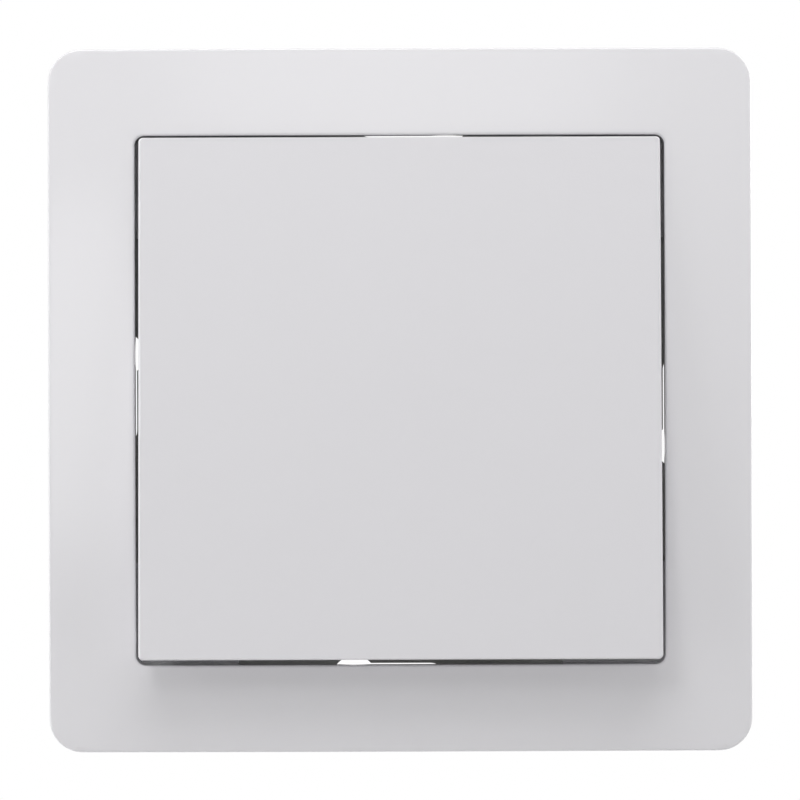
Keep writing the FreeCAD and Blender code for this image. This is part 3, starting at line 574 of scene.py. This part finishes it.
def through_loops(name, loops, cuts):
    """A skin through rounded squares, each a size, corner radius and depth, left in edit mode.

    Every second square is held back while the skin is made, as two squares in one plane would twist it.
    """
    back = 0.5
    held = [(size, corner, depth + back * (place % 2)) for place, (size, corner, depth) in enumerate(loops)]
    wires = [rounded_loop(*loop) for loop in held]
    for wire in wires:
        wire.select_set(True)
    bpy.context.view_layer.objects.active = wires[0]
    bpy.ops.object.join()
    bpy.context.object.name = name
    bpy.ops.object.mode_set(mode="EDIT")
    for (first, second), steps in cuts.items():
        pick("EDGE", lambda e, m: on_loop(e, *held[first]) or on_loop(e, *held[second]))
        bpy.ops.mesh.bridge_edge_loops(number_cuts=steps, interpolation="LINEAR")
    for loop in held[1::2]:
        pick("EDGE", lambda e, m: on_loop(e, *loop))
        bpy.ops.transform.translate(value=(0, -back * mm, 0))
    return bpy.context.object


section = [
    (frame_size, frame_corner, front_depth), (frame_size, frame_corner, wall_depth),
    (hollow_size, hollow_corner, wall_depth), (hollow_size, hollow_corner, roof_depth),
    (opening_size, opening_corner, roof_depth), (opening_size, opening_corner, front_depth),
]
surround = through_loops("cover_surround", section, {
    (0, 1): 0, (1, 2): 0, (2, 3): 0, (3, 4): 0, (4, 5): 0, (5, 0): 9})
bpy.ops.mesh.select_all(action="SELECT")
bpy.ops.mesh.normals_make_consistent(inside=False)
form = bmesh.from_edit_mesh(surround.data)
for v in form.verts:
    if v.co.y / mm < front_zone:
        span = math.hypot(v.co.x, v.co.z) / mm
        v.co.y = (dome - math.sqrt(dome ** 2 - span ** 2) - crown) * mm
bmesh.update_edit_mesh(surround.data)
for half in (lip_out, ledge_along):
    for across in ((1, 0, 0), (0, 0, 1)):
        for way in (-1, 1):
            pick("FACE", lambda f, m: abs(m.y - roof_depth) < near)
            bpy.ops.mesh.bisect(plane_co=[way * half * mm * a for a in across], plane_no=across)
pick("FACE", lambda f, m: abs(m.y - roof_depth) < near and max(abs(m.x), abs(m.z)) < lip_out
     and min(abs(m.x), abs(m.z)) > ledge_along)
bpy.ops.mesh.extrude_region_move(TRANSFORM_OT_translate={"value": (0, (wall_depth - roof_depth) * mm, 0)})
pick("EDGE", lambda e, m: on_front(e, frame_size, frame_corner))
bpy.ops.mesh.bevel(offset=frame_round * mm, segments=3, affect="EDGES")
pick("EDGE", lambda e, m: on_front(e, opening_size, opening_corner))
bpy.ops.mesh.bevel(offset=opening_round * mm, segments=4, affect="EDGES")
bpy.ops.object.mode_set(mode="OBJECT")
inner_parts = []
for side in sides:
    inner_parts.append(side_blank("tongue_rib", side, rib_out, rib_along, rib_depth))
    for span in ((ledge_along, ledge_out[0]), (-ledge_out[1], -ledge_along)):
        inner_parts.append(side_blank("corner_ledge", side, ledge_out, span, ledge_depth))
join_to(surround, inner_parts)
break_edges(surround, 0, angle=30)
frame_white = finish("frame_white", moulded, {
    "Colour": (0.760, 0.752, 0.774, 1), "Flow colour": (0.750, 0.742, 0.764, 1), "Flow": 25.0,
    "Grain": 900.0, "Smooth": 0.10, "Dull": 0.15}, 0.02)
fit(surround, frame_white, "insert", "cover_frame")

# Studio
# A plain white surround, a pale floor well below the switch, which is clear from below, and
# soft lamps above, at both sides, in front and behind. The camera is level with the switch.
floor_radius, floor_level, floor_glow = 0.9, -0.30, 0.5
camera_back, camera_roll = 0.6586, 0.18
scene = bpy.context.scene
scene.view_settings.view_transform = "Standard"
bpy.ops.object.select_all(action="DESELECT")
bpy.ops.mesh.primitive_circle_add(
    vertices=96, radius=floor_radius, fill_type="NGON", location=(0, 0, floor_level))
floor = bpy.context.object
floor.name = "studio_floor"
bpy.ops.object.transform_apply(location=True, rotation=True, scale=True)
pale_floor = finish("studio_floor", moulded, {
    "Colour": (0.86, 0.86, 0.86, 1), "Flow colour": (0.84, 0.84, 0.84, 1), "Flow": 3.0,
    "Grain": 300.0, "Smooth": 0.6, "Dull": 0.7}, 0.05, emission_color=(1, 1, 1, 1))
floor.data.materials.append(pale_floor)


def in_view(tree, strength):
    """A socket with the given strength for rays that show a surface to the camera, and 0 for others."""
    rays = tree.nodes.new("ShaderNodeLightPath").outputs
    shown = rays["Is Camera Ray"]
    for ray in ("Is Glossy Ray", "Is Transmission Ray"):
        either = tree.nodes.new("ShaderNodeMath")
        either.operation = "MAXIMUM"
        tree.links.new(shown, either.inputs[0])
        tree.links.new(rays[ray], either.inputs[1])
        shown = either.outputs["Value"]
    share = tree.nodes.new("ShaderNodeMath")
    share.operation = "MULTIPLY"
    tree.links.new(shown, share.inputs[0])
    share.inputs[1].default_value = strength
    return share.outputs["Value"]


tree = pale_floor.node_tree
shader = tree.nodes["Principled BSDF"]
tree.links.new(in_view(tree, floor_glow), shader.inputs["Emission Strength"])
from_below = tree.nodes.new("ShaderNodeMixShader")
tree.links.new(tree.nodes.new("ShaderNodeNewGeometry").outputs["Backfacing"], from_below.inputs["Fac"])
tree.links.new(shader.outputs["BSDF"], from_below.inputs[1])
tree.links.new(tree.nodes.new("ShaderNodeBsdfTransparent").outputs["BSDF"], from_below.inputs[2])
tree.links.new(from_below.outputs["Shader"], tree.nodes["Material Output"].inputs["Surface"])

world = bpy.data.worlds.new("studio")
scene.world = world
world.use_nodes = True
tree = world.node_tree
tree.nodes.clear()
ambient = tree.nodes.new("ShaderNodeBackground")
ambient.inputs["Color"].default_value = (1, 1, 1, 1)
ambient.inputs["Strength"].default_value = 0.20
backdrop = tree.nodes.new("ShaderNodeBackground")
backdrop.inputs["Color"].default_value = (1, 1, 1, 1)
choose = tree.nodes.new("ShaderNodeMixShader")
tree.links.new(in_view(tree, 1.0), choose.inputs["Fac"])
tree.links.new(ambient.outputs["Background"], choose.inputs[1])
tree.links.new(backdrop.outputs["Background"], choose.inputs[2])
tree.links.new(choose.outputs["Shader"], tree.nodes.new("ShaderNodeOutputWorld").inputs["Surface"])


def soft_lamp(name, place, width, height, watts):
    """A round or oval lamp that looks at the switch."""
    bpy.ops.object.light_add(type="AREA", location=place)
    lamp = bpy.context.object
    lamp.name = name
    lamp.data.shape = "ELLIPSE"
    lamp.data.size, lamp.data.size_y = width, height
    lamp.data.energy = watts
    lamp.rotation_euler = (-Vector(place)).to_track_quat("-Z", "Y").to_euler()


soft_lamp("top_lamp", (0.0, -0.155, 0.36), 0.45, 0.25, 1.10)
soft_lamp("left_lamp", (-0.42, -0.10, 0.0), 0.30, 0.70, 1.22)
soft_lamp("right_lamp", (0.42, -0.10, 0.0), 0.30, 0.70, 0.89)
soft_lamp("front_lamp", (-0.28, -0.52, 0.42), 0.30, 0.30, 0.96)
soft_lamp("upper_glow", (0.0, -0.80, 0.15), 0.20, 0.14, 0.090)
soft_lamp("left_glow", (-0.15, -0.80, 0.012), 0.14, 0.16, 0.103)
soft_lamp("rear_lamp", (0.40, 0.65, 0.15), 0.50, 0.50, 2.2)

bpy.ops.object.camera_add(
    location=(0, -camera_back, 0), rotation=(math.radians(90), math.radians(camera_roll), 0))
camera = bpy.context.object
camera.name = "photo_camera"
camera.data.sensor_width = 36.0
camera.data.lens = 254.2
camera.data.clip_start = 0.01
scene.camera = camera
